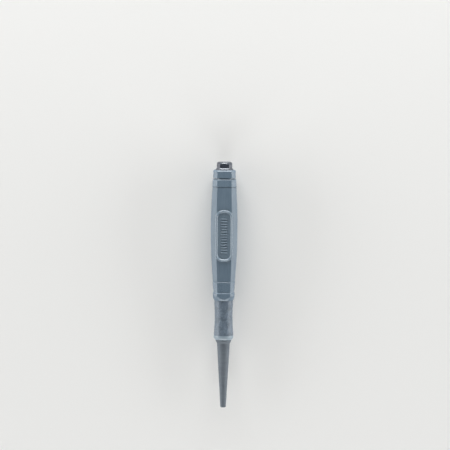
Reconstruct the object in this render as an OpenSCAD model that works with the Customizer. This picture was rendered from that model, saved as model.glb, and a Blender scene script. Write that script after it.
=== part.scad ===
// Nail setter: a one-piece steel punch in a faceted comfort grip.
// Each piece is drawn upright, with the tip at height zero and the front towards -Y.
// The whole tool is then laid on its back, with the head towards +Y and the front up.

/* [Nose and tip] */
// Length of the conical nose, from the working face to the shoulder
nose_length = 30; // [24:0.1:40]
// Diameter of the nose where it meets the shoulder
nose_d = 6; // [5:0.1:7]
// Diameter of the working face that pushes the nail
tip_d = 1.6; // [0.8:0.1:3.2]
// Rounding of the edge of the working face
tip_round = 0.5; // [0.1:0.02:0.6]
// Width of the flat land round the cup in the working face
cup_land = 0.3; // [0.1:0.05:0.35]
// Depth of the cup in the working face
cup_depth = 0.25; // [0.1:0.05:0.4]

/* [Shoulder and neck] */
// Height of the steel shoulder that shows under the grip
shoulder_height = 1.8; // [1.4:0.1:3]
// Height of the chamfer under the shoulder
shoulder_chamfer = 1.2; // [0.6:0.1:1.4]
// Step from the nose out to the shoulder
shoulder_step = 0.65; // [0.3:0.05:0.8]
// Height of the shoulder flange that the grip covers
flange_height = 1.3; // [0.8:0.1:3]
// Depth of the neck below the shoulder
neck_depth = 0.8; // [0.5:0.05:1.2]
// Number of holding rings on the neck
neck_rings = 3; // [1:1:5]
// Height of each holding ring
neck_ring_height = 1.2; // [0.6:0.1:1.8]
// Rise of each holding ring above the neck
neck_ring_rise = 0.4; // [0.2:0.05:0.6]

/* [Shank and head] */
// Width of the square shank across its flats
shank_width = 7.9; // [6:0.1:9]
// Corner chamfer of the shank, measured along a side
shank_chamfer = 1.7; // [1:0.1:2]
// Depth of the holding grooves in the shank
groove_depth = 0.5; // [0.3:0.05:0.8]
// Height of each holding groove
groove_height = 3; // [2:0.1:5]
// Length of the head above the collar
head_length = 3.7; // [3:0.1:12]
// Step from the shank in to the head, on each side
head_step = 0.4; // [0.1:0.05:0.5]
// Height of the bevel at the foot of the head
head_bevel = 0.5; // [0.2:0.05:0.8]
// Height of the plain land between the collar and that bevel
head_land = 0.4; // [0.1:0.05:0.5]
// Width of the turned chamfer round the striking face
crown_chamfer = 0.5; // [0.2:0.05:1]

/* [Barrel] */
// Wall of the hard core over the flats of the shank
core_wall = 0.55; // [0.5:0.05:1.2]
// Depth of the soft sleeve over the core at the widest place
sleeve_wall = 1.8; // [1.4:0.02:3]
// Length of the soft sleeve
sleeve_length = 44.1; // [40:0.1:60]
// Height of the widest place above the lower end of the sleeve
belly_height = 24.6; // [18:0.1:28]
// Lengthwise radius of the barrel's facets
barrel_curve = 285; // [220:1:600]
// Width of a flat facet at the widest place
facet_width = 7.2; // [5.6:0.1:8]
// How far the sleeve lies below the hard bands at its ends
sleeve_inset = 0.15; // [0.05:0.01:0.25]
// Length of the hard band above the sleeve
upper_band_length = 3.4; // [2:0.05:8]

/* [Foot and waist] */
// Length of the hard lower end, from the waist to the sleeve
lower_band_length = 8.8; // [6.5:0.1:14]
// Height of the foot ring and its cone above the waist
foot_height = 3.8; // [3.6:0.1:6]
// Rise of the foot ring above the band
foot_rise = 0.36; // [0.1:0.02:0.5]
// Bevel along the top of the foot ring
foot_bevel = 0.43; // [0.1:0.01:0.5]
// Height of the turned cone under the foot ring
cone_height = 2.1; // [2:0.1:3.4]
// Length of the soft waist, with its lip
waist_length = 18.3; // [14:0.1:26]
// Wall of the soft waist over the neck at its narrowest
waist_wall = 1.28; // [1:0.02:2.2]
// Height of the narrowest place above the lower end of the waist
waist_height = 10.7; // [8:0.1:13]
// Lengthwise radius of the hollow waist
waist_curve = 92; // [60:1:200]
// Height of the bevelled lip at the lower end of the waist
lip_height = 1; // [0.6:0.1:2.4]
// Depth of the lip's bevel, towards the shoulder
lip_bevel = 0.6; // [0.4:0.05:1.1]

/* [Collar] */
// Length of the collar
collar_length = 3.8; // [3:0.1:6]
// Wall of the collar over the core's spigot
collar_wall = 0.7; // [0.6:0.05:1.4]
// Width of a flat facet of the collar
collar_facet = 6.5; // [5.4:0.1:7.4]
// Bevel round the top of the collar
collar_bevel = 0.55; // [0.2:0.05:0.8]
// Open joint between the collar and the upper band
joint_gap = 0.4; // [0.2:0.05:0.6]
// Depth of the core's spigot inside the collar
spigot_depth = 2; // [1.6:0.1:2.4]
// Rise of the catch ridge on the spigot
catch_rise = 0.15; // [0.1:0.05:0.3]
// Height of the catch ridge
catch_height = 0.6; // [0.4:0.1:0.8]
// Clearance of the collar on the spigot and the shank
collar_clearance = 0.05; // [0.02:0.01:0.15]

/* [Oval panels] */
// Width over the rim of an oval panel
rim_width = 8.4; // [7:0.1:9]
// Length over the rim of an oval panel
rim_length = 23.9; // [18:0.1:28]
// Corner radius at the outside of the rim
rim_corner = 3.6; // [2.4:0.1:3.6]
// Width of the rounded rim
rim_bead = 1.3; // [0.9:0.05:1.6]
// Width of the flat worn on top of the rim
rim_flat = 0.4; // [0.4:0.05:0.85]
// Height of the rim's flat above the widest place of the barrel
rim_rise = 0.15; // [0.1:0.01:0.6]
// Height of the panel's centre above the lower end of the sleeve
panel_height = 21.5; // [16:0.05:24]
// Depth of the panel's floor below the rim's flat
panel_depth = 0.55; // [0.4:0.05:0.7]
// Gap between the rim and the sleeve round it
window_gap = 0.08; // [0.04:0.01:0.2]
// Spacing of the thumb ribs on the panel
rib_pitch = 1.2; // [0.8:0.05:2]
// Width of each thumb rib
rib_width = 0.55; // [0.3:0.05:0.7]
// Length of each thumb rib, across the panel
rib_length = 3.2; // [2:0.1:4]
// Height of each thumb rib above the panel's floor
rib_rise = 0.3; // [0.15:0.05:0.35]
// Bare length of the panel at each end of the ribs
rib_margin = 2.4; // [1:0.1:4]

/* [Hidden] */
$fn = 96;
arc_fn = 720;
// Longest straight step along the curve of the barrel
barrel_step = 4;

// Heights along the tool, from the tip up
lip_z = nose_length + shoulder_height;
flange_z = lip_z + flange_height;
waist_top_z = lip_z + waist_length;
foot_z = waist_top_z + foot_height;
sleeve_z = waist_top_z + lower_band_length;
sleeve_top_z = sleeve_z + sleeve_length;
band_top_z = sleeve_top_z + upper_band_length;
collar_z = band_top_z + joint_gap;
spigot_top_z = collar_z + spigot_depth;
collar_top_z = collar_z + collar_length;
total_length = collar_top_z + head_length;
belly_z = sleeve_z + belly_height;
narrow_z = lip_z + waist_height;
panel_z = sleeve_z + panel_height;
catch_z = collar_z + (spigot_depth - catch_height) / 2;

// Steel sizes
shoulder_r = nose_d / 2 + shoulder_step;
neck_r = shoulder_r - neck_depth;
cup_r = tip_d / 2 - cup_land;
cup_ball_r = (cup_r * cup_r + cup_depth * cup_depth) / (2 * cup_depth);
shank_half = shank_width / 2;
shank_spread = chamfered_diagonal(shank_half, shank_chamfer) - shank_half;
shank_corner_r = norm([shank_half, shank_half - shank_chamfer]);
groove_r = shank_half - groove_depth;
striking_r = shank_half - head_step - crown_chamfer;

// Grip sizes, as distances from the axis to a flat, and the extra distance to a corner facet
core_half = shank_half + core_wall;
barrel_half = core_half + sleeve_wall;
barrel_spread = facet_diagonal(barrel_half, facet_width) - barrel_half;
collar_half = core_half + collar_wall;
collar_spread = facet_diagonal(collar_half, collar_facet) - collar_half;
waist_r = neck_r + waist_wall;
cone_top_z = waist_top_z + cone_height;
cone_top_r = octagon_corner(flat_at(cone_top_z) + foot_rise, barrel_spread);

// Panel sizes, as distances from the axis
land = barrel_half + rim_rise;
panel_root = shank_half - shank_chamfer;
floor_height = land - panel_depth;
bead_r = rim_bead / 2;
bead_height = land - sqrt(bead_r * bead_r - rim_flat * rim_flat / 4);
rib_count = floor((rim_length - 2 * rim_bead - 2 * rib_margin) / rib_pitch) + 1;

// Reach of the cutting and clipping shapes, past every piece
reach = 2 * (land + barrel_spread);

// Distance from the axis to the corner facet of a chamfered square
function chamfered_diagonal(half, chamfer) = (2 * half - chamfer) / sqrt(2);
// Distance from the axis to the corner facet of an octagon with flats of a given width
function facet_diagonal(half, width) = (half + width / 2) / sqrt(2);
// Distance from the axis to an edge between a flat and a corner facet
function octagon_corner(half, spread) = norm([half, sqrt(2) * (half + spread) - half]);
// Distance from the axis to a barrel flat at a height
function flat_at(z) = barrel_half - barrel_curve + sqrt(barrel_curve * barrel_curve - pow(z - belly_z, 2));
// Half widths and heights along a stretch of the barrel, raised above its surface by rise
function barrel_outline(rise, z0, z1) =
    let (steps = ceil((z1 - z0) / barrel_step))
    [for (k = [0:steps]) let (z = z0 + k * (z1 - z0) / steps) [flat_at(z) + rise, z]];
// Radius of the hollow waist at a height
function waist_at(z) = waist_r + waist_curve - sqrt(waist_curve * waist_curve - pow(z - narrow_z, 2));
// Closed outline from a list of half widths and heights
function both_sides(half_outline, spread) = concat(
    [for (p = half_outline) [p[0] + spread, p[1]]],
    [for (k = [len(half_outline) - 1:-1:0]) [-half_outline[k][0] - spread, half_outline[k][1]]]);

// Lays a piece that was drawn upright on its back
module laid_down() {
    translate([0, -total_length / 2, land]) rotate([-90, 0, 0]) children();
}

// Works on the front panel and on the back panel: X across, Y along the tool, Z out from the axis
module on_both_panels() {
    for (angle = [0, 180]) rotate([90, 0, angle]) translate([0, panel_z, 0]) children();
}

// Upright wall of a given outline, from inside the core out to a distance from the axis
module panel_wall(height) {
    translate([0, 0, panel_root]) linear_extrude(height = height - panel_root) children();
}

// Eight-sided column whose flats follow a list of half widths and heights
module facet_column(half_outline, spread) {
    intersection_for(side = [0:3])
        rotate([90, 0, 45 * side])
            linear_extrude(height = reach, center = true)
                polygon(both_sides(half_outline, side % 2 == 0 ? 0 : spread));
}

// Eight-sided straight tube blank
module facet_prism(half, spread, z0, z1) {
    facet_column([[half, z0], [half, z1]], spread);
}

// Stretch of the eight-sided barrel, raised above its surface by rise
module barrel(rise, z0, z1) {
    facet_column(barrel_outline(rise, z0, z1), barrel_spread);
}

// Oblong with round corners
module oblong(width, length, corner) {
    square([width, length - 2 * corner], center = true);
    square([width - 2 * corner, length], center = true);
    for (x = [-1, 1], y = [-1, 1])
        translate([x * (width / 2 - corner), y * (length / 2 - corner)]) circle(r = corner);
}

// Rounded rod along the outline of an oblong
module oblong_rod(width, length, corner, rod_r) {
    for (side = [-1, 1]) {
        translate([side * (width / 2 - rod_r), 0, 0])
            rotate([90, 0, 0]) cylinder(h = length - 2 * corner, r = rod_r, center = true);
        translate([0, side * (length / 2 - rod_r), 0])
            rotate([0, 90, 0]) cylinder(h = width - 2 * corner, r = rod_r, center = true);
    }
    for (quarter = [0:3])
        translate([(width / 2 - corner) * (quarter == 0 || quarter == 3 ? 1 : -1),
                   (length / 2 - corner) * (quarter < 2 ? 1 : -1), 0])
            rotate([0, 0, 90 * quarter])
                rotate_extrude(angle = 90) translate([corner - rod_r, 0]) circle(r = rod_r);
}

// Turned lower half of the punch: tip, nose, shoulder, flange, neck and its rings
module turned_nose() {
    ring_pitch = (waist_top_z - flange_z) / (neck_rings + 1);
    rotate_extrude() {
        polygon([[0, 0], [tip_d / 2, 0], [tip_d / 2 + tip_round, tip_round],
                 [nose_d / 2, nose_length], [shoulder_r, nose_length + shoulder_chamfer],
                 [shoulder_r, flange_z], [0, flange_z]]);
        translate([tip_d / 2, tip_round]) circle(r = tip_round);
        translate([0, lip_z]) square([neck_r, foot_z - lip_z]);
        for (k = [1:neck_rings])
            translate([0, flange_z + k * ring_pitch - neck_ring_height / 2])
                square([neck_r + neck_ring_rise, neck_ring_height]);
    }
}

// Envelope that the lathe leaves on the square shank: lead-in cone, holding grooves and crown
module shank_envelope() {
    outer_r = shank_corner_r + groove_depth;
    cone_z = foot_z - groove_depth;
    low_groove_z = sleeve_z;
    high_groove_z = sleeve_top_z - groove_height;
    rotate_extrude()
        difference() {
            polygon([[0, cone_z], [neck_r, cone_z], [outer_r, cone_z + outer_r - neck_r],
                     [outer_r, total_length - outer_r + striking_r], [striking_r, total_length],
                     [0, total_length]]);
            for (z = [low_groove_z, high_groove_z])
                translate([groove_r, z]) square([outer_r, groove_height]);
        }
}

// Solid steel of the punch, drawn upright, before the cup is sunk in the tip
module punch_blank() {
    bevel_z = collar_top_z + head_land;
    turned_nose();
    intersection() {
        shank_envelope();
        facet_column([[shank_half, waist_top_z], [shank_half, bevel_z],
                      [shank_half - head_step, bevel_z + head_bevel],
                      [shank_half - head_step, total_length]], shank_spread);
    }
}

// Hard body of the core, its spigot and the catch ridge
module core_body() {
    facet_prism(core_half, shank_spread, foot_z, spigot_top_z);
    facet_prism(core_half + catch_rise, shank_spread, catch_z, catch_z + catch_height);
}

// Lower band over a foot ring with a bevelled top, cut to a cone below
module lower_band() {
    ring_r = cone_top_r + foot_rise;
    intersection() {
        facet_column(concat(barrel_outline(foot_rise, waist_top_z, foot_z - foot_bevel),
                            barrel_outline(0, foot_z, sleeve_z)), barrel_spread);
        rotate_extrude()
            polygon([[0, waist_top_z], [waist_at(waist_top_z), waist_top_z], [cone_top_r, cone_top_z],
                     [ring_r, cone_top_z], [ring_r + foot_height, sleeve_z], [0, sleeve_z]]);
    }
}

// Raised boss with a recessed floor, thumb ribs and a rounded rim, flattened where it rests
module panel_boss() {
    difference() {
        union() {
            panel_wall(bead_height) oblong(rim_width, rim_length, rim_corner);
            translate([0, 0, bead_height]) oblong_rod(rim_width, rim_length, rim_corner, bead_r);
        }
        translate([0, 0, floor_height]) linear_extrude(height = reach)
            oblong(rim_width - 2 * rim_bead, rim_length - 2 * rim_bead, rim_corner - rim_bead);
        translate([0, 0, land + reach / 2]) cube([reach, 2 * rim_length, reach], center = true);
    }
    for (k = [0:rib_count - 1])
        translate([0, (k - (rib_count - 1) / 2) * rib_pitch, floor_height])
            cube([rib_length, rib_width, 2 * rib_rise], center = true);
}

// Steel punch: striking head, square shank, neck, shoulder and tapered nose with a cupped tip
module punch() {
    color([0.42, 0.44, 0.47])
        laid_down()
            difference() {
                punch_blank();
                translate([0, 0, cup_depth - cup_ball_r]) sphere(r = cup_ball_r);
            }
}

// Hard ring that closes the upper end of the grip and snaps on the core's spigot
module end_collar() {
    color([0.44, 0.49, 0.54])
        laid_down()
            difference() {
                facet_column([[collar_half, collar_z], [collar_half, collar_top_z - collar_bevel],
                              [collar_half - collar_bevel, collar_top_z]], collar_spread);
                facet_prism(shank_half + collar_clearance, shank_spread, collar_z, collar_top_z);
                facet_prism(core_half + collar_clearance, shank_spread, collar_z, spigot_top_z);
                facet_prism(core_half + catch_rise + collar_clearance, shank_spread,
                            catch_z - collar_clearance, catch_z + catch_height + collar_clearance);
            }
}

// Hard moulding on the shank: body, both bands, foot ring and the two oval bosses
module grip_core() {
    color([0.41, 0.47, 0.52])
        laid_down()
            difference() {
                union() {
                    core_body();
                    lower_band();
                    barrel(0, sleeve_top_z, band_top_z);
                    on_both_panels() panel_boss();
                }
                punch_blank();
            }
}

// Soft faceted cover of the barrel, with a window for each oval boss
module grip_sleeve() {
    color([0.39, 0.45, 0.5])
        laid_down()
            difference() {
                barrel(-sleeve_inset, sleeve_z, sleeve_top_z);
                facet_prism(core_half, shank_spread, sleeve_z, sleeve_top_z);
                on_both_panels()
                    panel_wall(reach)
                        oblong(rim_width + 2 * window_gap, rim_length + 2 * window_gap,
                               rim_corner + window_gap);
            }
}

// Soft hollow waist for the fingers, with a bevelled lip over the shoulder
module waist_sleeve() {
    lip_r = waist_at(lip_z + lip_height);
    color([0.38, 0.43, 0.48])
        laid_down()
            difference() {
                rotate_extrude()
                    difference() {
                        polygon([[0, lip_z], [lip_r - lip_bevel, lip_z],
                                 [lip_r + lip_bevel, lip_z + 2 * lip_height],
                                 [lip_r + lip_bevel, waist_top_z], [0, waist_top_z]]);
                        translate([waist_r + waist_curve, narrow_z]) circle(r = waist_curve, $fn = arc_fn);
                    }
                punch_blank();
            }
}

punch();
end_collar();
grip_core();
grip_sleeve();
waist_sleeve();
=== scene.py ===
"""Nail setter with a comfort grip: the finished surfaces round its packed frame.

The tool lies on its back on a pale floor, with the head towards +Y and the front panel up.
Every piece is lofted round the tool's axis, so a "ring" below is one closed loop of points round it.
"""

import math

import bmesh
import bpy
from bpy.props import FloatProperty, FloatVectorProperty, IntProperty, PointerProperty
from mathutils import Matrix, Vector, noise


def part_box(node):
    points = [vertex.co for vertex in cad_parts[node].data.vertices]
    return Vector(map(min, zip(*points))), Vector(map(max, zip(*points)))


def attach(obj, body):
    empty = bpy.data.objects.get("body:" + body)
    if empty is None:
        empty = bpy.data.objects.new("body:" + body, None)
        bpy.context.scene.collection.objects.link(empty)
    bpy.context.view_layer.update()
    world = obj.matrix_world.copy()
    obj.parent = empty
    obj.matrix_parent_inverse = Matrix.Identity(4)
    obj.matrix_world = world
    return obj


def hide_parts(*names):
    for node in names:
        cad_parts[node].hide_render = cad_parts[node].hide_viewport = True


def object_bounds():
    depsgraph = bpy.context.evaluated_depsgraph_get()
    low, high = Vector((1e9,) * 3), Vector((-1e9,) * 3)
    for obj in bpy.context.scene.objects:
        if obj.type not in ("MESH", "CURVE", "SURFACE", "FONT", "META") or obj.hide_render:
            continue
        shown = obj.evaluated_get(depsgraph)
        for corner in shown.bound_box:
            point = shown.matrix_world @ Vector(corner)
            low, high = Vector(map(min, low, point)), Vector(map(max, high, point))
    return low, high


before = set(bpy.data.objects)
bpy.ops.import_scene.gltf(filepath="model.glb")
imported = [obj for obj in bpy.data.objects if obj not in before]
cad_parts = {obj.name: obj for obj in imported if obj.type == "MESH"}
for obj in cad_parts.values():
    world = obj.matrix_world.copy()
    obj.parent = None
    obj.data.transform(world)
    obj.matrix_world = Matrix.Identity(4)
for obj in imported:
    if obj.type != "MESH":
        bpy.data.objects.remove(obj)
CAD_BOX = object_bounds()

bl_info = {
    "name": "Nail setter",
    "version": (1, 0, 0),
    "blender": (4, 5, 0),
    "location": "3D View > Sidebar > Nail setter",
    "description": "Builds a nail setter with a comfort grip round its packed frame",
    "category": "Add Mesh",
}

MM = 0.001
# Length below which two points count as one
TINY = 1e-6 * MM
BODY = "root"

# Places that the frame gives, in metres
PUNCH_LOW, PUNCH_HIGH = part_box("punch")
COLLAR_LOW, COLLAR_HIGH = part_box("end_collar")
CORE_LOW, CORE_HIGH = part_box("grip_core")
SLEEVE_LOW, SLEEVE_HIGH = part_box("grip_sleeve")
WAIST_LOW, WAIST_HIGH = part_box("waist_sleeve")
AXIS_Z = (PUNCH_LOW.z + PUNCH_HIGH.z) / 2
TIP_Y = PUNCH_LOW.y
SHANK_HALF = PUNCH_HIGH.x
LAND = CORE_HIGH.z - AXIS_Z


def linear_rgb(hex_code):
    """Linear colour of an sRGB hex value, with full alpha."""
    srgb = [int(hex_code[k:k + 2], 16) / 255 for k in (1, 3, 5)]
    return [c / 12.92 if c <= 0.04045 else ((c + 0.055) / 1.055) ** 2.4 for c in srgb] + [1.0]


def length(name, millimetres, description):
    """A length that a user can change."""
    return FloatProperty(name=name, description=description, default=millimetres * MM,
                         min=0.0, precision=5, unit="LENGTH")


def angle(name, degrees, description):
    """An angle that a user can change."""
    return FloatProperty(name=name, description=description, default=math.radians(degrees),
                         unit="ROTATION")


def radiance(name, level, description):
    """A light level that a user can change, where 1 is a white surface in full light."""
    return FloatProperty(name=name, description=description, default=level, min=0.0)


def colour(name, hex_code, description):
    """A colour that a user can change, given as an sRGB hex value."""
    return FloatVectorProperty(name=name, description=description, default=linear_rgb(hex_code),
                               size=4, min=0.0, max=1.0, subtype="COLOR")


class PunchShape(bpy.types.PropertyGroup):
    """Sizes of the steel punch."""

    nose_length: length("Nose length", 30, "From the working face to the shoulder")
    nose_d: length("Nose diameter", 6, "Diameter of the nose at the shoulder")
    tip_d: length("Tip diameter", 1.6, "Diameter of the working face")
    tip_round: length("Tip rounding", 0.5, "Rounding round the working face")
    cup_land: length("Cup land", 0.3, "Flat ring round the cup")
    cup_depth: length("Cup depth", 0.25, "Depth of the cup in the working face")
    shoulder_d: length("Shoulder diameter", 7.3, "Diameter of the shoulder under the grip")
    shoulder_chamfer: length("Shoulder chamfer", 1.2, "Height of the chamfer under the shoulder")
    flange_height: length("Flange height", 1.3, "Height of the shoulder inside the lip")
    neck_d: length("Neck diameter", 5.7, "Diameter of the neck inside the waist")
    shank_chamfer: length("Shank chamfer", 1.7, "Corner chamfer of the square shank, along a side")
    head_step: length("Head step", 0.4, "Step from the shank in to the head, on each side")
    head_bevel: length("Head bevel", 0.5, "Height of the bevel at the foot of the head")
    head_land: length("Head land", 0.4, "Plain height between the collar and that bevel")
    crown_chamfer: length("Crown chamfer", 0.5, "Turned chamfer round the striking face")
    corner_round: length("Corner rounding", 0.14, "Rounding along the corners of the head")
    edge_round: length("Edge rounding", 0.14, "Rounding of the turned edges")


class GripShape(bpy.types.PropertyGroup):
    """Sizes of the faceted grip: collar, core and sleeve."""

    facet_width: length("Facet width", 7.2, "Width of a flat at the widest place")
    barrel_curve: length("Barrel curve", 285, "Lengthwise radius of the facets")
    belly_height: length("Belly height", 24.6, "Widest place above the lower end of the sleeve")
    sleeve_inset: length("Sleeve inset", 0.15, "How far the sleeve lies below the hard bands")
    core_wall: length("Core wall", 0.55, "Wall of the hard core over the shank")
    upper_band: length("Upper band", 3.4, "Length of the hard band above the sleeve")
    foot_height: length("Foot height", 3.8, "Height of the foot ring and its cone")
    foot_rise: length("Foot rise", 0.36, "Rise of the foot ring above the band")
    foot_bevel: length("Foot bevel", 0.43, "Bevel along the top of the foot ring")
    cone_height: length("Cone height", 2.1, "Height of the turned cone under the foot ring")
    collar_facet: length("Collar facet", 6.5, "Width of a flat of the collar")
    collar_bevel: length("Collar bevel", 0.55, "Height of the bevel round the top of the collar")
    bevel_slope: angle("Bevel slope", 41, "Slope of the bevels on the collar and along the seams")
    clearance: length("Clearance", 0.05, "Clearance of the collar on the spigot and the shank")
    spigot_depth: length("Spigot depth", 2, "Depth of the core's spigot inside the collar")
    corner_round: length("Corner rounding", 0.5, "Rounding along the corners between facets")
    seam_round: length("Seam rounding", 0.2, "Rounding of the ends of the hard bands")
    seam_bevel: length("Seam bevel", 0.25, "Height of the bevel at the top of each hard band")
    seam_gap: length("Seam gap", 0.14, "How far the sleeve and the collar stay back from the upper band")
    sleeve_round: length("Sleeve rounding", 0.05, "Rounding of the ends of the sleeve")


class PanelShape(bpy.types.PropertyGroup):
    """Sizes of the two oval panels."""

    rim_width: length("Rim width", 8.4, "Width over the rim")
    rim_length: length("Rim length", 23.9, "Length over the rim")
    rim_corner: length("Rim corner", 3.6, "Corner radius outside the rim")
    rim_bevel: length("Rim bevel", 0.45, "Width of the bevel outside the rim")
    rim_slope: angle("Rim slope", 43, "Slope of the rim's sides")
    rim_flat: length("Rim flat", 0.26, "Width of the flat on top of the rim")
    rim_round: length("Rim rounding", 0.06, "Rounding of the rim's edges")
    height: length("Panel height", 21.5, "Centre of the panel above the lower end of the sleeve")
    depth: length("Panel depth", 0.55, "Depth of the floor below the rim's flat")
    window_gap: length("Window gap", 0.08, "Gap between the rim and the sleeve")
    rib_count: IntProperty(name="Ribs", description="Number of thumb ribs", default=14, min=1)
    rib_pitch: length("Rib pitch", 1.2, "Spacing of the thumb ribs")
    rib_width: length("Rib width", 0.55, "Width of a thumb rib")
    rib_length: length("Rib length", 3.2, "Length of a thumb rib, across the panel")
    rib_rise: length("Rib rise", 0.3, "Height of a thumb rib above the floor")


class WaistShape(bpy.types.PropertyGroup):
    """Sizes of the hollow, stippled waist."""

    narrow_d: length("Narrow diameter", 8.26, "Diameter at the narrowest place")
    narrow_height: length("Narrow height", 10.7, "Narrowest place above the lower end of the waist")
    curve: length("Waist curve", 92, "Lengthwise radius of the hollow")
    lip_height: length("Lip height", 1, "Height of the bevelled lip at the lower end")
    lip_bevel: length("Lip bevel", 0.6, "Depth of the lip's bevel, towards the shoulder")
    lip_round: length("Lip rounding", 0.2, "Rounding of the lip's edges")
    stipple_pitch: length("Stipple pitch", 0.75, "Mean spacing of the stipple dots")
    stipple_rise: length("Stipple rise", 0.09, "Height of a stipple dot")
    dot_width: FloatProperty(name="Dot width", description="Radius of a dot, as a share of the pitch",
                             default=0.62, min=0.1, max=1.0)
    plain_lip: length("Plain lip", 2.1, "Height of the lip without stipple")
    plain_top: length("Plain top", 0.7, "Height of the upper end without stipple")


class Finish(bpy.types.PropertyGroup):
    """Colours of the finishes."""

    nose_steel: colour("Nose steel", "#626b73", "Ground and phosphated steel of the nose")
    head_steel: colour("Head steel", "#3c414c", "Black oxide on the head")
    # Bare steel also serves as a painted highlight on the crown and on the bevel under the head
    bare_steel: colour("Bare steel", "#b9bcbf", "Steel that wear has laid bare")
    hard_grip: colour("Hard grip", "#5f7180", "Polypropylene of the core and the collar")
    soft_grip: colour("Soft grip", "#5a6c7b", "Elastomer of the sleeve")
    waist_grip: colour("Waist grip", "#5f6c79", "Elastomer of the waist")
    soiled_grip: colour("Soiled grip", "#48545f", "Dirt between the dots of the waist")
    # The rubbed grip colour also serves as painted light: highlights on edges, dot tops and the lip, and
    # the lighter panels
    rubbed_grip: colour("Rubbed grip", "#84929c", "Edges of the grip that hands have rubbed pale")
    floor: colour("Floor", "#efefed", "Matt paper that the tool lies on")


class Studio(bpy.types.PropertyGroup):
    """The camera and the lights."""

    frame_height: length("Frame height", 208.2, "Height of the picture at the tool")
    frame_centre: FloatVectorProperty(
        name="Frame centre", description="Place on the axis that the camera looks at",
        default=(0.38 * MM, 27.9 * MM, AXIS_Z), size=3, unit="LENGTH", subtype="XYZ")
    distance: length("Camera distance", 1200, "From the camera to the frame centre")
    tilt: angle("Tilt", 4.5, "Lean of the camera towards the head")
    roll: angle("Roll", 0.37, "Turn of the picture")
    floor_size: length("Floor size", 6000, "Side of the square floor")
    box_distance: length("Box distance", 900, "From the tool to a soft box")
    box_reach: angle("Box reach", 30, "Half of what a soft box covers sideways, seen from the tool")
    box_foot: angle("Box foot", 0.5, "Lower edge of the soft boxes above the horizon")
    side_top: angle("Side box top", 19, "Upper edge of the side boxes above the horizon")
    head_top: angle("Head box top", 25, "Upper edge of the head box above the horizon")
    fill_top: angle("Fill box top", 56, "Upper edge of the fill box over the head box")
    tip_top: angle("Tip box top", 32, "Upper edge of the tip box above the horizon")
    side_light: radiance("Side light", 6.2, "Radiance of the two side boxes")
    head_light: radiance("Head light", 8.6, "Radiance of the box beyond the head")
    fill_light: radiance("Fill light", 1.1, "Radiance of the box over the head box")
    tip_light: radiance("Tip light", 4.4, "Radiance of the box beyond the tip")
    horizon: radiance("Horizon", 0.42, "Radiance of the room round the tool")
    zenith: radiance("Zenith", 0.08, "Radiance of the room overhead")


# Rings and lofts

# Steps along a rounded corner, and points on the flat between two corners, as shares of its width
CORNER_STEPS = 4
FLAT_SHARES = (0.06, 0.17, 0.28, 0.39, 0.5, 0.61, 0.72, 0.83, 0.94)
# Steps along a rounded edge
EDGE_STEPS = 4
# A rounding takes this share of a short neighbour at most
ROUND_SHARE = 0.44
# Rings this many setbacks away hold the edge marks of wear and painted highlight, and the shading, close to
# a rounded edge
HOLD_REACH = 1.5
HOLD_SHARE = 0.48


def facet_diagonal(half, width):
    """Distance from the axis to a corner facet of an octagon with flats of a given width."""
    return (half + width / 2) / math.sqrt(2)


def octagon(y, half, diagonal, corner):
    """Ring of a rounded octagon: flats at `half` up, down and sideways, and at `diagonal` between."""
    apart = [half, diagonal] * 4
    normals = [Vector((math.cos(k * math.pi / 4), math.sin(k * math.pi / 4))) for k in range(8)]
    arcs = []
    for k in range(8):
        n, m = normals[k], normals[(k + 1) % 8]
        d, e = apart[k] - corner, apart[(k + 1) % 8] - corner
        det = n.x * m.y - n.y * m.x
        centre = Vector(((d * m.y - e * n.y) / det, (e * n.x - d * m.x) / det))
        turns = [(k + j / CORNER_STEPS) * math.pi / 4 for j in range(CORNER_STEPS + 1)]
        arcs.append([centre + corner * Vector((math.cos(t), math.sin(t))) for t in turns])
    ring = []
    for k in range(8):
        start, end = arcs[k][-1], arcs[(k + 1) % 8][0]
        ring += arcs[k] + [start.lerp(end, share) for share in FLAT_SHARES]
    return [Vector((p.x, y, AXIS_Z + p.y)) for p in ring]


def across(point):
    """Distance of a point from the axis."""
    return math.hypot(point.x, point.z - AXIS_Z)


def round_ring(y, radius, model):
    """Circle whose points lie in the same directions from the axis as those of another ring."""
    ring = []
    for p in model:
        share = radius / across(p)
        ring.append(Vector((p.x * share, y, AXIS_Z + (p.z - AXIS_Z) * share)))
    return ring


def moved(ring, heights):
    """The ring with each point at its own place along the axis."""
    return [Vector((p.x, y, p.z)) for p, y in zip(ring, heights)]


def steps_between(low, high, step):
    """Places from low to high, both included, no further apart than a step."""
    count = max(1, math.ceil((high - low) / step))
    return [low + (high - low) * k / count for k in range(count + 1)]


def eased(stations, closed=False):
    """Rings of a loft from (ring, setback) stations: a setback above zero rounds that edge."""
    count = len(stations)
    rings = []
    for k, (ring, setback) in enumerate(stations):
        inner = closed or 0 < k < count - 1
        if setback <= 0 or not inner:
            rings.append(ring)
            continue
        before, after = stations[k - 1][0], stations[(k + 1) % count][0]
        turned = [[] for _ in range(EDGE_STEPS + 3)]
        for a, b, c in zip(before, ring, after):
            back, ahead = a - b, c - b
            room_back, room_ahead = setback / max(back.length, TINY), setback / max(ahead.length, TINY)
            start = b + back * min(room_back, ROUND_SHARE)
            end = b + ahead * min(room_ahead, ROUND_SHARE)
            turned[0].append(b + back * min(room_back * HOLD_REACH, HOLD_SHARE))
            for j in range(EDGE_STEPS + 1):
                t = j / EDGE_STEPS
                turned[j + 1].append(start * (1 - t) ** 2 + b * 2 * t * (1 - t) + end * t ** 2)
            turned[-1].append(b + ahead * min(room_ahead * HOLD_REACH, HOLD_SHARE))
        rings += turned
    return rings


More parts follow.
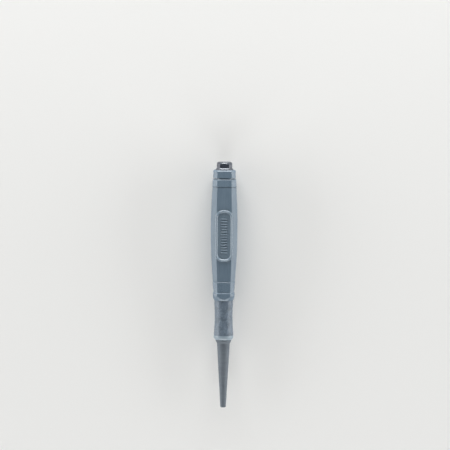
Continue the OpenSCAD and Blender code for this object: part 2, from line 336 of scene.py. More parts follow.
def loft(name, rings, closed=False):
    """Mesh of rings joined in order, capped at both ends or, if closed, joined back to the first."""
    around = len(rings[0])
    count = len(rings)
    faces = []
    for k in range(count if closed else count - 1):
        low, high = k * around, (k + 1) % count * around
        for i in range(around):
            j = (i + 1) % around
            faces.append((low + i, low + j, high + j, high + i))
    if not closed:
        faces.append(tuple(range(around)))
        faces.append(tuple(range((count - 1) * around, count * around)))
    mesh = bpy.data.meshes.new(name)
    mesh.from_pydata([p for ring in rings for p in ring], [], faces)
    return mesh


def outward(mesh):
    """Turn the faces of a closed mesh outward."""
    shape = bmesh.new()
    shape.from_mesh(mesh)
    bmesh.ops.recalc_face_normals(shape, faces=shape.faces)
    shape.to_mesh(mesh)
    shape.free()
    return mesh


def new_object(name, mesh):
    """Object of a mesh, in the scene."""
    thing = bpy.data.objects.new(name, outward(mesh))
    bpy.context.scene.collection.objects.link(thing)
    return thing


def joined(name, meshes):
    """One mesh of several."""
    shape = bmesh.new()
    for mesh in meshes:
        shape.from_mesh(mesh)
        bpy.data.meshes.remove(mesh)
    whole = bpy.data.meshes.new(name)
    shape.to_mesh(whole)
    shape.free()
    return whole


def carve(thing, tool, operation):
    """Join another object to this one or cut it away, and remove that other object."""
    modifier = thing.modifiers.new(operation.lower(), "BOOLEAN")
    modifier.object = tool
    modifier.operation = operation
    modifier.solver = "EXACT"
    graph = bpy.context.evaluated_depsgraph_get()
    carved = bpy.data.meshes.new_from_object(thing.evaluated_get(graph))
    plain = thing.data
    thing.modifiers.clear()
    thing.data = carved
    bpy.data.meshes.remove(plain)
    bpy.data.objects.remove(tool)


# Convex turn between two faces at which the edge marks of wear and painted highlight start to show, and the
# turn at which they are full
WEAR_FROM = math.radians(7)
WEAR_FULL = math.radians(18)
# Faces that meet at more than this keep a sharp edge
SHARP = math.radians(40)


def within(y, places):
    """Whether a place along the tool lies in one of several stretches."""
    return any(low <= y <= high for low, high in places)


def mark_edges(mesh, worn_and_lit_places, painted_light_place, painted_light_level):
    """Store the mark of each point: wear that also paints in highlights on the outer edges of worn places,
    and painted light all over a painted place.
    """
    shape = bmesh.new()
    shape.from_mesh(mesh)
    wear = []
    for vertex in shape.verts:
        turn = max((e.calc_face_angle_signed(0.0) for e in vertex.link_edges), default=0.0)
        share = min(1.0, max(0.0, (turn - WEAR_FROM) / (WEAR_FULL - WEAR_FROM)))
        edge = share if within(vertex.co.y, worn_and_lit_places) else 0.0
        wear.append(painted_light_level if within(vertex.co.y, painted_light_place) else edge)
    shape.free()
    mesh.attributes.new("edge", "FLOAT", "POINT").data.foreach_set("value", wear)


WHOLE_TOOL = ((CAD_BOX[0].y, CAD_BOX[1].y),)


def finish_piece(thing, node, material, worn_and_lit_places=WHOLE_TOOL, painted_light_place=(), painted_light_level=0.0):
    """Shade a piece, give it its material and let it stand for its node of the frame."""
    mark_edges(thing.data, worn_and_lit_places, painted_light_place, painted_light_level)
    thing.data.shade_smooth()
    thing.data.set_sharp_from_angle(angle=SHARP)
    weighted = thing.modifiers.new("weighted normals", "WEIGHTED_NORMAL")
    weighted.keep_sharp = True
    thing.data.materials.clear()
    thing.data.materials.append(material)
    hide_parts(node)
    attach(thing, BODY)


# Materials

ATTRIBUTE = "ShaderNodeAttribute"
BUMP = "ShaderNodeBump"
MAPPING = "ShaderNodeMapping"
MIX = "ShaderNodeMix"
NOISE = "ShaderNodeTexNoise"
RANGE = "ShaderNodeMapRange"


def set_inputs(tree, node, inputs):
    """Set or link a node's sockets by name."""
    for name, value in inputs.items():
        socket = next(s for s in node.inputs if s.enabled and s.name == name)
        if isinstance(value, bpy.types.NodeSocket):
            tree.links.new(value, socket)
        else:
            socket.default_value = value


def add_node(tree, kind, inputs=None, output=None, **settings):
    """Add a node with its settings and links, and return its named or its first output."""
    node = tree.nodes.new(kind)
    for name, value in settings.items():
        setattr(node, name, value)
    set_inputs(tree, node, inputs or {})
    return node.outputs[output] if output else next(s for s in node.outputs if s.enabled)


def per_mm(size):
    """Pattern scale for features of a size in millimetres."""
    return 1 / (size * MM)


def start_material(name):
    """New material: its node tree, its shader and the place on the object."""
    material = bpy.data.materials.new(name)
    material.use_nodes = True
    tree = material.node_tree
    place = add_node(tree, "ShaderNodeTexCoord", output="Object")
    return material, tree, tree.nodes["Principled BSDF"], place


def hardened_tool_steel(finish):
    """Hardened tool steel."""
    # The nose is ground on a wheel, so fine rings run round it under a dull grey phosphate film.
    # The head is smooth and black with oxide, with bare metal along the edges that a hammer touches; that
    # bare metal also paints in highlights along the crown.
    # Both films scatter light, so the surface is only part metal to the eye.
    material, tree, shader, place = start_material("hardened_tool_steel")
    along = add_node(tree, "ShaderNodeSeparateXYZ", {"Vector": place}, "Y")
    head = add_node(tree, RANGE, {"Value": along, "From Min": COLLAR_LOW.y, "From Max": COLLAR_HIGH.y})
    edge = add_node(tree, ATTRIBUTE, output="Fac", attribute_name="edge")
    # Grinding rings are about 0.05 mm apart and are drawn at 0.25 mm, so that they show
    wheel = add_node(tree, MAPPING, {"Vector": place, "Scale": (per_mm(6), per_mm(0.25), per_mm(6))})
    rings = add_node(tree, NOISE, {"Vector": wheel, "Scale": 1.0, "Detail": 3.0})
    clouds = add_node(tree, NOISE, {"Vector": place, "Scale": per_mm(3), "Detail": 4.0})
    specks = add_node(tree, NOISE, {"Vector": place, "Scale": per_mm(0.6), "Detail": 2.0})
    # The film is cloudy on the nose and even on the head, and the wheel left pale rings in it
    cloudy = add_node(tree, RANGE, {"Value": clouds, "From Min": 0.4, "From Max": 0.7, "To Max": 0.2})
    nose = add_node(tree, MIX, {"Factor": cloudy, "A": finish.nose_steel, "B": finish.head_steel},
                    data_type="RGBA")
    film = add_node(tree, MIX, {"Factor": head, "A": nose, "B": finish.head_steel}, data_type="RGBA")
    scored = add_node(tree, RANGE, {"Value": rings, "From Min": 0.45, "From Max": 0.75, "To Max": 0.1})
    ground = add_node(tree, MIX, {"Factor": scored, "A": film, "B": finish.bare_steel}, data_type="RGBA")
    # Wear lays the metal bare along the edges, in chips. The same pale metal is a painted highlight on the
    # crown and on the bevel under the head
    chips = add_node(tree, RANGE, {"Value": specks, "From Min": 0.3, "From Max": 0.55, "To Min": 0.6})
    bare = add_node(tree, RANGE, {"Value": edge, "From Min": 0.02, "From Max": 0.22, "To Max": chips})
    worn_and_lit = add_node(tree, MIX, {"Factor": bare, "A": ground, "B": finish.bare_steel}, data_type="RGBA")
    metal = add_node(tree, RANGE, {"Value": bare, "From Max": 0.6, "To Min": 0.15})
    satin = add_node(tree, RANGE, {"Value": rings, "From Min": 0.3, "From Max": 0.7,
                                   "To Min": 0.62, "To Max": 0.74})
    polish = add_node(tree, RANGE, {"Value": clouds, "From Min": 0.3, "From Max": 0.7,
                                    "To Min": 0.2, "To Max": 0.3})
    rough = add_node(tree, MIX, {"Factor": head, "A": satin, "B": polish})
    bump = add_node(tree, BUMP, {"Height": rings, "Strength": 0.25, "Distance": 0.02 * MM})
    set_inputs(tree, shader, {"Base Color": worn_and_lit, "Metallic": metal, "Roughness": rough, "Normal": bump})
    return material


def moulded_skin(tree, place, colours, sizes, streaked):
    """Colour and grain of a moulded skin: clouds, lengthwise streaks, and edges rubbed paler in patches,
    which also paint in highlights along bevels and seams and painted light where a place is marked all
    over.
    """
    base, pale = colours
    cloud, streak, streak_length, grit = sizes
    edge = add_node(tree, ATTRIBUTE, output="Fac", attribute_name="edge")
    clouds = add_node(tree, NOISE, {"Vector": place, "Scale": per_mm(cloud), "Detail": 3.0})
    drawn = add_node(tree, MAPPING, {"Vector": place, "Scale": (per_mm(streak), per_mm(streak_length),
                                                                per_mm(streak))})
    streaks = add_node(tree, NOISE, {"Vector": drawn, "Scale": 1.0})
    grain = add_node(tree, NOISE, {"Vector": place, "Scale": per_mm(grit), "Detail": 3.0})
    cloudy = add_node(tree, RANGE, {"Value": clouds, "From Min": 0.3, "From Max": 0.7, "To Max": 0.12})
    shaded = add_node(tree, MIX, {"Factor": cloudy, "A": base, "B": pale}, data_type="RGBA")
    lines = add_node(tree, RANGE, {"Value": streaks, "From Min": 0.35, "From Max": 0.7, "To Max": streaked})
    lined = add_node(tree, MIX, {"Factor": lines, "A": shaded, "B": pale}, data_type="RGBA")
    patchy = add_node(tree, RANGE, {"Value": grain, "From Min": 0.3, "From Max": 0.65,
                                    "To Min": 0.15, "To Max": 0.5})
    # Rubbed edges are painted pale, partly for wear and partly as painted highlight on bevels and seams
    rubbed = add_node(tree, RANGE, {"Value": edge, "To Max": patchy})
    return add_node(tree, MIX, {"Factor": rubbed, "A": lined, "B": pale}, data_type="RGBA"), grain


def moulded_polypropylene(finish):
    """Moulded polypropylene."""
    # A satin skin with faint flow lines along the tool, a fine spark-eroded grain from the mould,
    # and edges that handling has rubbed paler, which also paints in highlights along bevels and seams.
    material, tree, shader, place = start_material("moulded_polypropylene")
    # Clouds of 6 mm and flow lines of 0.7 by 14 mm. Mould grain of about 0.1 mm is drawn at 0.3 mm, so
    # that it shows
    colours = (finish.hard_grip, finish.rubbed_grip)
    worn_and_lit, grain = moulded_skin(tree, place, colours, (6, 0.7, 14, 0.3), 0.14)
    satin = add_node(tree, RANGE, {"Value": grain, "From Min": 0.3, "From Max": 0.7,
                                   "To Min": 0.24, "To Max": 0.32})
    bump = add_node(tree, BUMP, {"Height": grain, "Strength": 0.3, "Distance": 0.03 * MM})
    set_inputs(tree, shader, {"Base Color": worn_and_lit, "Roughness": satin, "IOR": 1.49, "Normal": bump})
    return material


def moulded_elastomer(finish):
    """Moulded thermoplastic elastomer."""
    # Softer than the hard bands beside it: a duller skin with a little sheen at grazing angles,
    # fine grain and faint lengthwise drag lines.
    material, tree, shader, place = start_material("moulded_elastomer")
    # Clouds of 5 mm and drag lines of 0.55 by 18 mm. Skin grain of about 0.1 mm is drawn at 0.28 mm, so
    # that it shows
    colours = (finish.soft_grip, finish.rubbed_grip)
    worn_and_lit, grain = moulded_skin(tree, place, colours, (5, 0.55, 18, 0.28), 0.16)
    dull = add_node(tree, RANGE, {"Value": grain, "From Min": 0.3, "From Max": 0.7,
                                  "To Min": 0.34, "To Max": 0.44})
    bump = add_node(tree, BUMP, {"Height": grain, "Strength": 0.35, "Distance": 0.04 * MM})
    set_inputs(tree, shader, {"Base Color": worn_and_lit, "Roughness": dull, "IOR": 1.5, "Sheen Weight": 0.08,
                              "Sheen Roughness": 0.4, "Normal": bump})
    return material


def stippled_elastomer(finish):
    """Stippled thermoplastic elastomer."""
    # The dots of the grip zone are in the mesh. Between them the skin is dull and holds blotches of
    # The tops of the dots are rubbed paler, which also paints in highlights on them, and the smooth lip is
    # painted pale all over as a painted highlight.
    material, tree, shader, place = start_material("stippled_elastomer")
    waist = bpy.context.scene.nailset_waist
    along = add_node(tree, "ShaderNodeSeparateXYZ", {"Vector": place}, "Y")
    smooth_y = WAIST_LOW.y + waist.plain_lip
    # Painted highlight: the smooth lip is painted the pale colour
    lip = add_node(tree, RANGE, {"Value": along, "From Min": smooth_y,
                                 "From Max": smooth_y - waist.lip_round})
    dots = add_node(tree, ATTRIBUTE, output="Fac", attribute_name="dot")
    clouds = add_node(tree, NOISE, {"Vector": place, "Scale": per_mm(2.4), "Detail": 4.0})
    # Skin grain of about 0.1 mm, drawn at 0.25 mm so that it shows
    grain = add_node(tree, NOISE, {"Vector": place, "Scale": per_mm(0.25), "Detail": 3.0})
    blotches = add_node(tree, RANGE, {"Value": clouds, "From Min": 0.45, "From Max": 0.62, "To Max": 0.6})
    soiled = add_node(tree, MIX, {"Factor": blotches, "A": finish.waist_grip, "B": finish.soiled_grip},
                      data_type="RGBA")
    # Dot tops painted paler, partly for wear and partly as painted highlight
    tops = add_node(tree, RANGE, {"Value": dots, "From Min": 0.4, "To Max": 0.4})
    dotted = add_node(tree, MIX, {"Factor": tops, "A": soiled, "B": finish.rubbed_grip}, data_type="RGBA")
    worn_and_lit = add_node(tree, MIX, {"Factor": lip, "A": dotted, "B": finish.rubbed_grip}, data_type="RGBA")
    dull = add_node(tree, RANGE, {"Value": clouds, "From Min": 0.3, "From Max": 0.7,
                                  "To Min": 0.32, "To Max": 0.46})
    bump = add_node(tree, BUMP, {"Height": grain, "Strength": 0.3, "Distance": 0.03 * MM})
    set_inputs(tree, shader, {"Base Color": worn_and_lit, "Roughness": dull, "IOR": 1.5, "Sheen Weight": 0.2,
                              "Sheen Roughness": 0.4, "Normal": bump})
    return material


def matt_studio_paper(finish):
    """Matt studio paper."""
    # Pale and even, with a faint tooth of about 0.2 mm, drawn at 0.6 mm so that it shows
    material, tree, shader, place = start_material("matt_studio_paper")
    tooth = add_node(tree, NOISE, {"Vector": place, "Scale": per_mm(0.6), "Detail": 4.0})
    level = add_node(tree, RANGE, {"Value": tooth, "From Min": 0.3, "From Max": 0.7, "To Min": 0.985})
    tone = add_node(tree, "ShaderNodeHueSaturation", {"Value": level, "Color": finish.floor})
    set_inputs(tree, shader, {"Base Color": tone, "Roughness": 0.9})
    return material


def finish_material(make):
    """The material that a function of the same name makes, made once."""
    made = bpy.data.materials.get(make.__name__)
    return made or make(bpy.context.scene.nailset_finish)


# The punch

def shank_octagon(y, half):
    """Ring that follows the square shank with its corner chamfers."""
    punch = bpy.context.scene.nailset_punch
    spread = (2 * SHANK_HALF - punch.shank_chamfer) / math.sqrt(2) - SHANK_HALF
    return octagon(y, half, half + spread, punch.corner_round)


# Steps from the middle of the cup to its edge
CUP_STEPS = 8


def tip_rings(punch, model):
    """Cup, land and rounded edge of the working face, from the cup's middle outward."""
    cup_r = punch.tip_d / 2 - punch.cup_land
    ball_r = (cup_r ** 2 + punch.cup_depth ** 2) / (2 * punch.cup_depth)
    centre_y = TIP_Y + punch.cup_depth - ball_r
    radii = [cup_r * k / CUP_STEPS for k in range(1, CUP_STEPS + 1)]
    rings = [round_ring(centre_y + math.sqrt(ball_r ** 2 - r ** 2), r, model) for r in radii]
    for k in range(EDGE_STEPS + 1):
        turn = k / EDGE_STEPS * math.pi / 2
        rings.append(round_ring(TIP_Y + punch.tip_round * (1 - math.cos(turn)),
                                punch.tip_d / 2 + punch.tip_round * math.sin(turn), model))
    return rings


# Longest step along the nose
NOSE_STEP = 3 * MM


def nose_rings(punch, model):
    """Rings along the straight taper of the nose, from just above the rounded tip."""
    low_y, low_r = TIP_Y + punch.tip_round, punch.tip_d / 2 + punch.tip_round
    high_y, high_r = TIP_Y + punch.nose_length, punch.nose_d / 2
    slope = (high_r - low_r) / (high_y - low_y)
    places = steps_between(low_y + punch.tip_round, high_y - NOSE_STEP, NOSE_STEP)
    return [round_ring(y, low_r + (y - low_y) * slope, model) for y in places]


# Painted highlight on the bevel at the foot of the head: a share of pale bare metal that lights it up as a
# bright bar
BEVEL_HIGHLIGHT = 0.07


class NAILSET_OT_punch(bpy.types.Operator):
    """Make the steel punch: cupped tip, tapered nose, shoulder, shank and striking head"""

    bl_idname = "nailset.punch"
    bl_label = "Make the punch"

    def execute(self, context):
        punch = context.scene.nailset_punch
        head_half = SHANK_HALF - punch.head_step
        head = shank_octagon(0, head_half)
        shoulder_y = TIP_Y + punch.nose_length
        flange_y = WAIST_LOW.y + punch.flange_height
        neck_r = punch.neck_d / 2
        shoulder_r = punch.shoulder_d / 2
        bevel_y = COLLAR_HIGH.y + punch.head_land
        face_r = head_half - punch.crown_chamfer
        foot_y = CORE_LOW.y + context.scene.nailset_grip.foot_height
        crown = [PUNCH_HIGH.y - (across(p) - face_r) for p in head]
        turned = [
            (round_ring(shoulder_y, punch.nose_d / 2, head), punch.edge_round),
            (round_ring(shoulder_y + punch.shoulder_chamfer, shoulder_r, head), punch.edge_round),
            (round_ring(flange_y, shoulder_r, head), 0),
            (round_ring(flange_y, neck_r, head), 0),
            (round_ring(foot_y, neck_r, head), 0),
            (shank_octagon(foot_y, SHANK_HALF), 0),
            (shank_octagon(bevel_y, SHANK_HALF), punch.edge_round),
            (shank_octagon(bevel_y + punch.head_bevel, head_half), punch.edge_round),
            (moved(head, crown), punch.edge_round),
            (round_ring(PUNCH_HIGH.y, face_r, head), punch.edge_round),
            (round_ring(PUNCH_HIGH.y, face_r / 2, head), 0),
        ]
        tip = tip_rings(punch, head) + nose_rings(punch, head)
        rings = tip + eased([(tip[-1], 0)] + turned)[1:]
        thing = new_object("steel_punch", loft("steel_punch", rings))
        # Blows bare the crown, which also paints in the crown's highlight, nails bare the working face, and
        # the bevel under the head gets a painted highlight
        worn_and_lit_places = (
            (TIP_Y, TIP_Y + punch.tip_round / EDGE_STEPS),
            (max(crown) - punch.edge_round, PUNCH_HIGH.y),
        )
        painted_light_place = ((bevel_y, bevel_y + punch.head_bevel),)
        finish_piece(thing, "punch", finish_material(hardened_tool_steel),
                     worn_and_lit_places, painted_light_place, BEVEL_HIGHLIGHT)
        return {"FINISHED"}


# The grip

class Barrel:
    """The faceted barrel that the bands and the sleeve share."""

    def __init__(self, grip):
        self.grip = grip
        self.half = SLEEVE_HIGH.x + grip.sleeve_inset
        self.spread = facet_diagonal(self.half, grip.facet_width) - self.half
        self.belly_y = SLEEVE_LOW.y + grip.belly_height

    def flat_at(self, y):
        """Distance from the axis to a flat at a place along the tool."""
        curve = self.grip.barrel_curve
        return self.half - curve + math.sqrt(curve ** 2 - (y - self.belly_y) ** 2)

    def ring(self, y, rise=0.0):
        """Ring of the barrel, raised above its surface by rise."""
        half = self.flat_at(y) + rise
        return octagon(y, half, half + self.spread, self.grip.corner_round)


# Longest step along the curve of the barrel
BARREL_STEP = 1.5 * MM


class NAILSET_OT_collar(bpy.types.Operator):
    """Make the hard ring at the upper end of the grip"""

    bl_idname = "nailset.collar"
    bl_label = "Make the collar"

    def execute(self, context):
        grip = context.scene.nailset_grip
        low, high = COLLAR_LOW.y + grip.seam_gap, COLLAR_HIGH.y
        half = COLLAR_HIGH.x
        diagonal = facet_diagonal(half, grip.collar_facet)
        bevel = grip.collar_bevel
        step = bevel * math.tan(grip.bevel_slope)
        bore = SHANK_HALF + grip.clearance
        socket = SHANK_HALF + grip.core_wall + grip.clearance
        ledge = COLLAR_LOW.y + grip.spigot_depth + grip.clearance
        stations = [
            (octagon(low, half, diagonal, grip.corner_round), grip.sleeve_round),
            (octagon(high - bevel, half, diagonal, grip.corner_round), grip.sleeve_round),
            (octagon(high, half - step, diagonal - step, grip.corner_round), grip.sleeve_round),
            (shank_octagon(high, bore), grip.clearance * 2),
            (shank_octagon(ledge, bore), 0),
            (shank_octagon(ledge, socket), 0),
            (shank_octagon(low, socket), 0),
        ]
        thing = new_object("collar_ring", loft("collar_ring", eased(stations, True), True))
        finish_piece(thing, "end_collar", finish_material(moulded_polypropylene))
        return {"FINISHED"}


def core_rings(grip, barrel, waist_r):
    """Closed loft of the core: cone, foot ring, both bands, spigot and bore."""
    foot_y = CORE_LOW.y + grip.foot_height
    cone_y = CORE_LOW.y + grip.cone_height
    core_half = SHANK_HALF + grip.core_wall
    band_y = SLEEVE_HIGH.y + grip.upper_band
    foot = barrel.ring(cone_y, grip.foot_rise)
    widest = max(across(p) for p in foot)
    slope = grip.cone_height / (widest - waist_r)
    cone = [CORE_LOW.y + (across(p) - waist_r) * slope for p in foot]
    seam, bevel = grip.seam_round, grip.seam_bevel
    step = bevel * math.tan(grip.bevel_slope)
    stations = [
        (round_ring(CORE_LOW.y, waist_r, foot), seam / 2),
        (moved(foot, cone), seam),
        (barrel.ring(foot_y - grip.foot_bevel, grip.foot_rise), seam),
        (barrel.ring(foot_y), seam),
        (barrel.ring(SLEEVE_LOW.y - bevel), grip.sleeve_round),
        (barrel.ring(SLEEVE_LOW.y, -step), 0),
        (shank_octagon(SLEEVE_LOW.y, core_half), 0),
        (shank_octagon(SLEEVE_HIGH.y, core_half), 0),
        (barrel.ring(SLEEVE_HIGH.y), grip.sleeve_round),
        (barrel.ring(band_y - bevel), grip.sleeve_round),
        (barrel.ring(band_y, -step), grip.sleeve_round),
        (shank_octagon(band_y, core_half), 0),
        (shank_octagon(CORE_HIGH.y, core_half), 0),
        (shank_octagon(CORE_HIGH.y, SHANK_HALF), 0),
        (shank_octagon(CORE_LOW.y, SHANK_HALF), 0),
    ]
    return eased(stations, True)


# Steps along a round corner of a panel
PANEL_STEPS = 12


def oblong(width, length_over, corner):
    """Outline of an oblong with round corners, about its centre."""
    points = []
    for quarter, (x, y) in enumerate([(1, 1), (-1, 1), (-1, -1), (1, -1)]):
        centre = Vector((x * (width / 2 - corner), y * (length_over / 2 - corner)))
        for k in range(PANEL_STEPS + 1):
            turn = (quarter + k / PANEL_STEPS) * math.pi / 2
            points.append(centre + corner * Vector((math.cos(turn), math.sin(turn))))
    return points


# Least corner radius of an outline that has been drawn inward
LEAST_CORNER = 0.02 * MM
# Corner radius of a rib, and how far its top is drawn in, as shares of its width
RIB_CORNER = 0.48
RIB_INSET = 0.45


def mound(name, size, profile, centre_y, side):
    """Oblong mound on the front (side 1) or the back (side -1), from (inset, height) points."""
    width, length_over, corner = size
    rings = []
    for inset, height in profile:
        outline = oblong(width - 2 * inset, length_over - 2 * inset, max(corner - inset, LEAST_CORNER))
        rings.append([Vector((p.x, centre_y + p.y, AXIS_Z + side * height)) for p in outline])
    return loft(name, rings)


def rim_profile(panel, root):
    """Points of a panel's wall, its bevelled rim and the edge of its floor, as (inset, height)."""
    slope = math.tan(panel.rim_slope)
    flat_end = panel.rim_bevel + panel.rim_flat
    wall = flat_end + panel.depth / slope
    floor = LAND - panel.depth
    outline = [
        (0, root, 0),
        (0, LAND - panel.rim_bevel * slope, panel.rim_round),
        (panel.rim_bevel, LAND, panel.rim_round),
        (flat_end, LAND, panel.rim_round),
        (wall, floor, panel.rim_round),
        (wall + panel.rim_bevel, floor, 0),
    ]
    stations = [([Vector((inset, height, 0))], setback) for inset, height, setback in outline]
    return [(point.x, point.y) for (point,) in eased(stations)]


def rib_profile(panel, floor):
    """Points of a round-topped rib that stands in the floor, as (inset, height)."""
    # No point lies at the height of the floor itself, so the union has no faces in one plane
    points = [(0, floor - panel.rib_rise)]
    for k in range(1, EDGE_STEPS + 1):
        turn = k / EDGE_STEPS * math.pi / 2
        inset = panel.rib_width * RIB_INSET * (1 - math.cos(turn))
        points.append((inset, floor + panel.rib_rise * math.sin(turn)))
    return points


# Painted light on a panel: its floor, ribs and inner rim are painted lighter to offset the shade of the
# recess
PAINTED_PANEL_LIGHT = 0.8


class NAILSET_OT_core(bpy.types.Operator):
    """Make the hard core: foot ring, both bands and the two oval panels with thumb ribs"""

    bl_idname = "nailset.core"
    bl_label = "Make the core"

    def execute(self, context):
        grip = context.scene.nailset_grip
        panel = context.scene.nailset_panel
        barrel = Barrel(grip)
        waist_r = waist_radius(context.scene.nailset_waist, CORE_LOW.y)
        thing = new_object("core_moulding", loft("core_moulding", core_rings(grip, barrel, waist_r), True))
        centre_y = SLEEVE_LOW.y + panel.height
        root = SHANK_HALF + grip.core_wall / 2
        floor = LAND - panel.depth
        oval = (panel.rim_width, panel.rim_length, panel.rim_corner)
        bar = (panel.rib_length, panel.rib_width, panel.rib_width * RIB_CORNER)
        bosses = []
        ribs = []
        for side in (1, -1):
            bosses.append(mound("boss", oval, rim_profile(panel, root), centre_y, side))
            for k in range(panel.rib_count):
                rib_y = centre_y + (k - (panel.rib_count - 1) / 2) * panel.rib_pitch
                ribs.append(mound("rib", bar, rib_profile(panel, floor), rib_y, side))
        carve(thing, new_object("bosses", joined("bosses", bosses)), "UNION")
        carve(thing, new_object("ribs", joined("ribs", ribs)), "UNION")
        # The panels are painted lighter all over, as painted light against the shade in their recess, and
        # at these places nothing else of the core shows
        reach = panel.rim_length / 2 - panel.rim_bevel - panel.rim_flat - panel.rim_round
        finish_piece(thing, "grip_core", finish_material(moulded_polypropylene),
                     painted_light_place=((centre_y - reach, centre_y + reach),), painted_light_level=PAINTED_PANEL_LIGHT)
        return {"FINISHED"}


class NAILSET_OT_sleeve(bpy.types.Operator):
    """Make the soft faceted sleeve with its two oval windows"""

    bl_idname = "nailset.sleeve"
    bl_label = "Make the sleeve"

    def execute(self, context):
        grip = context.scene.nailset_grip
        panel = context.scene.nailset_panel
        barrel = Barrel(grip)
        low, high = SLEEVE_LOW.y, SLEEVE_HIGH.y - grip.seam_gap
        inner = SHANK_HALF + grip.core_wall
        stations = [(barrel.ring(y, -grip.sleeve_inset), 0) for y in steps_between(low, high, BARREL_STEP)]
        stations[0] = (stations[0][0], grip.sleeve_round)
        stations[-1] = (stations[-1][0], grip.sleeve_round)
        stations += [(shank_octagon(high, inner), 0), (shank_octagon(low, inner), 0)]
        thing = new_object("sleeve_cover", loft("sleeve_cover", eased(stations, True), True))
        gap = panel.window_gap
        window = (panel.rim_width + 2 * gap, panel.rim_length + 2 * gap, panel.rim_corner + gap)
        profile = [(0, SHANK_HALF), (0, LAND + panel.depth)]
        cutters = [mound("window", window, profile, low + panel.height, side) for side in (1, -1)]
        carve(thing, new_object("windows", joined("windows", cutters)), "DIFFERENCE")
        finish_piece(thing, "grip_sleeve", finish_material(moulded_elastomer))
        return {"FINISHED"}


# The waist

def waist_radius(waist, y):
    """Radius of the hollow waist at a place along the tool."""
    narrow_y = WAIST_LOW.y + waist.narrow_height
    return waist.narrow_d / 2 + waist.curve - math.sqrt(waist.curve ** 2 - (y - narrow_y) ** 2)


def dot_height(waist, point):
    """Height of the stipple at a place, from 0 between the dots to 1 on top of one."""
    nearest = noise.voronoi(point / waist.stipple_pitch)[0][0]
    fade_low = (point.y - WAIST_LOW.y - waist.plain_lip) / waist.stipple_pitch
    fade_high = (WAIST_HIGH.y - waist.plain_top - point.y) / waist.stipple_pitch
    fade = max(0.0, min(1.0, fade_low, fade_high))
    return fade * max(0.0, 1 - (nearest / waist.dot_width) ** 2)


# Points round the waist, and the step along it
WAIST_AROUND = 224
WAIST_STEP = 0.125 * MM


class NAILSET_OT_waist(bpy.types.Operator):
    """Make the soft hollow waist with its stipple and its bevelled lip"""

    bl_idname = "nailset.waist"
    bl_label = "Make the waist"

    def execute(self, context):
        waist = context.scene.nailset_waist
        punch = context.scene.nailset_punch
        seam = context.scene.nailset_grip.seam_round
        low, high = WAIST_LOW.y, WAIST_HIGH.y
        lip_y = low + waist.lip_height
        lip_r = waist_radius(waist, lip_y)
        shoulder_r = punch.shoulder_d / 2
        neck_r = punch.neck_d / 2
        flange_y = low + punch.flange_height
        # Points of the outline: the distance from the axis, then the place along it
        outline = [
            (shoulder_r, low, 0),
            (lip_r - waist.lip_bevel, low, waist.lip_round),
            (lip_r, lip_y, waist.lip_round),
            (waist_radius(waist, lip_y + waist.lip_round * 2), lip_y + waist.lip_round * 2, 0),
        ]
        for y in steps_between(lip_y + waist.lip_round * 2, high - seam, WAIST_STEP)[1:]:
            outline.append((waist_radius(waist, y), y, 0))
        outline += [
            (waist_radius(waist, high), high, seam),
            (neck_r, high, 0),
            (neck_r, flange_y, 0),
            (shoulder_r, flange_y, 0),
        ]
        stations = [([Vector((radius, y, 0))], setback) for radius, y, setback in outline]
        turns = [2 * math.pi * k / WAIST_AROUND for k in range(WAIST_AROUND)]
        rings = []
        dots = []
        for (point,) in eased(stations, True):
            ring = []
            for turn in turns:
                out = Vector((math.cos(turn), 0, math.sin(turn)))
                place = Vector((0, point.y, AXIS_Z)) + out * point.x
                dot = dot_height(waist, place) if point.x > shoulder_r else 0.0
                ring.append(place + out * dot * waist.stipple_rise)
                dots.append(dot)
            rings.append(ring)
        thing = new_object("waist_cover", loft("waist_cover", rings, True))
        thing.data.attributes.new("dot", "FLOAT", "POINT").data.foreach_set("value", dots)
        finish_piece(thing, "waist_sleeve", finish_material(stippled_elastomer))
        return {"FINISHED"}


# The stage

def soft_box(name, studio, way, low, high, level):
    """Rectangular lamp of one radiance that faces the tool, between two heights seen from it."""
    away = studio.box_distance
    lamp = bpy.data.lights.new(name, "AREA")
    lamp.shape = "RECTANGLE"
    lamp.size = 2 * away * math.tan(studio.box_reach)
    lamp.size_y = 2 * away * math.tan((high - low) / 2)
    lamp.energy = level * math.pi * lamp.size * lamp.size_y
    thing = bpy.data.objects.new(name, lamp)
    rise = (low + high) / 2
    out = Vector((way[0] * math.cos(rise), way[1] * math.cos(rise), math.sin(rise)))
    thing.location = Vector((0, 0, AXIS_Z)) + out * away
    thing.rotation_mode = "QUATERNION"
    thing.rotation_quaternion = (-out).to_track_quat("-Z", "Y")
    thing.visible_camera = False
    bpy.context.scene.collection.objects.link(thing)


def light_room(studio):
    """Room light that is pale all round and dim overhead, so that up-facing surfaces stay deep."""
    world = bpy.data.worlds.new("studio_room")
    world.use_nodes = True
    tree = world.node_tree
    way = add_node(tree, "ShaderNodeTexCoord", output="Generated")
    up = add_node(tree, "ShaderNodeSeparateXYZ", {"Vector": way}, "Z")
    level = add_node(tree, RANGE, {"Value": up, "From Min": 0.1, "From Max": 0.8,
                                   "To Min": studio.horizon, "To Max": studio.zenith})
    set_inputs(tree, tree.nodes["Background"], {"Color": (1, 1, 1, 1), "Strength": level})
    bpy.context.scene.world = world


def place_camera(studio):
    """Camera above the tool, leaning towards the head, with the head at the top of the picture."""
    camera = bpy.data.cameras.new("camera")
    camera.lens = camera.sensor_width * studio.distance / studio.frame_height
    thing = bpy.data.objects.new("camera", camera)
    back = Vector((0, math.sin(studio.tilt), math.cos(studio.tilt)))
    level = Vector((1, 0, 0))
    upright = back.cross(level)
    right = level * math.cos(studio.roll) + upright * math.sin(studio.roll)
    turned = Matrix((right, back.cross(right), back)).transposed()
    eye = Vector(studio.frame_centre) + back * studio.distance
    thing.matrix_world = Matrix.Translation(eye) @ turned.to_4x4()
    bpy.context.scene.collection.objects.link(thing)
    bpy.context.scene.camera = thing


# The floor lies this far under the tool, so that no two faces share a plane
FLOOR_DROP = 0.01 * MM


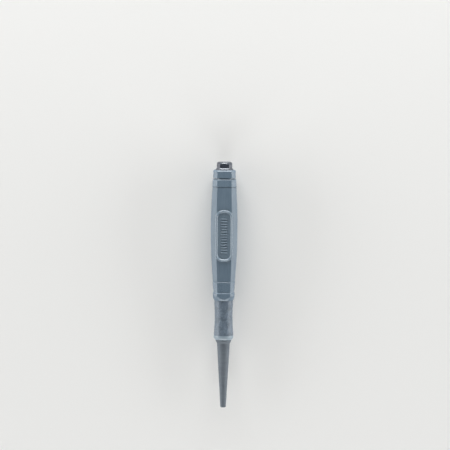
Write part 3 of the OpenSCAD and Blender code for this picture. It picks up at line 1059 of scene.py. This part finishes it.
class NAILSET_OT_stage(bpy.types.Operator):
    """Set the floor, the lights and the camera"""

    bl_idname = "nailset.stage"
    bl_label = "Set the stage"

    def execute(self, context):
        studio = context.scene.nailset_studio
        context.scene.view_settings.view_transform = "Standard"
        half = studio.floor_size / 2
        mesh = bpy.data.meshes.new("floor")
        corners = [(x, y, CAD_BOX[0].z - FLOOR_DROP) for x, y in
                   ((-half, -half), (half, -half), (half, half), (-half, half))]
        mesh.from_pydata(corners, [], [(0, 1, 2, 3)])
        mesh.materials.append(finish_material(matt_studio_paper))
        floor = bpy.data.objects.new("floor", mesh)
        context.scene.collection.objects.link(floor)
        light_room(studio)
        low = studio.box_foot
        soft_box("left_box", studio, (-1, 0), low, studio.side_top, studio.side_light)
        soft_box("right_box", studio, (1, 0), low, studio.side_top, studio.side_light)
        soft_box("head_box", studio, (0, 1), low, studio.head_top, studio.head_light)
        soft_box("fill_box", studio, (0, 1), studio.head_top, studio.fill_top, studio.fill_light)
        soft_box("tip_box", studio, (0, -1), low, studio.tip_top, studio.tip_light)
        place_camera(studio)
        return {"FINISHED"}


class NAILSET_PT_panel(bpy.types.Panel):
    """The nail setter's pieces"""

    bl_idname = "NAILSET_PT_panel"
    bl_label = "Nail setter"
    bl_space_type = "VIEW_3D"
    bl_region_type = "UI"
    bl_category = "Nail setter"

    def draw(self, context):
        for operator in OPERATORS:
            self.layout.operator(operator.bl_idname)
        for key, group in GROUPS.items():
            box = self.layout.box()
            box.label(text=group.__doc__)
            for name in group.__annotations__:
                box.prop(getattr(context.scene, key), name)


GROUPS = {
    "nailset_punch": PunchShape,
    "nailset_grip": GripShape,
    "nailset_panel": PanelShape,
    "nailset_waist": WaistShape,
    "nailset_finish": Finish,
    "nailset_studio": Studio,
}
OPERATORS = (NAILSET_OT_stage, NAILSET_OT_punch, NAILSET_OT_collar, NAILSET_OT_core,
             NAILSET_OT_sleeve, NAILSET_OT_waist)


def register():
    for key, group in GROUPS.items():
        bpy.utils.register_class(group)
        setattr(bpy.types.Scene, key, PointerProperty(type=group))
    for operator in OPERATORS:
        bpy.utils.register_class(operator)
    bpy.utils.register_class(NAILSET_PT_panel)


def unregister():
    bpy.utils.unregister_class(NAILSET_PT_panel)
    for operator in reversed(OPERATORS):
        bpy.utils.unregister_class(operator)
    for key, group in GROUPS.items():
        delattr(bpy.types.Scene, key)
        bpy.utils.unregister_class(group)


def main():
    register()
    bpy.ops.nailset.stage()
    bpy.ops.nailset.punch()
    bpy.ops.nailset.collar()
    bpy.ops.nailset.core()
    bpy.ops.nailset.sleeve()
    bpy.ops.nailset.waist()


if __name__ == "__main__":
    main()
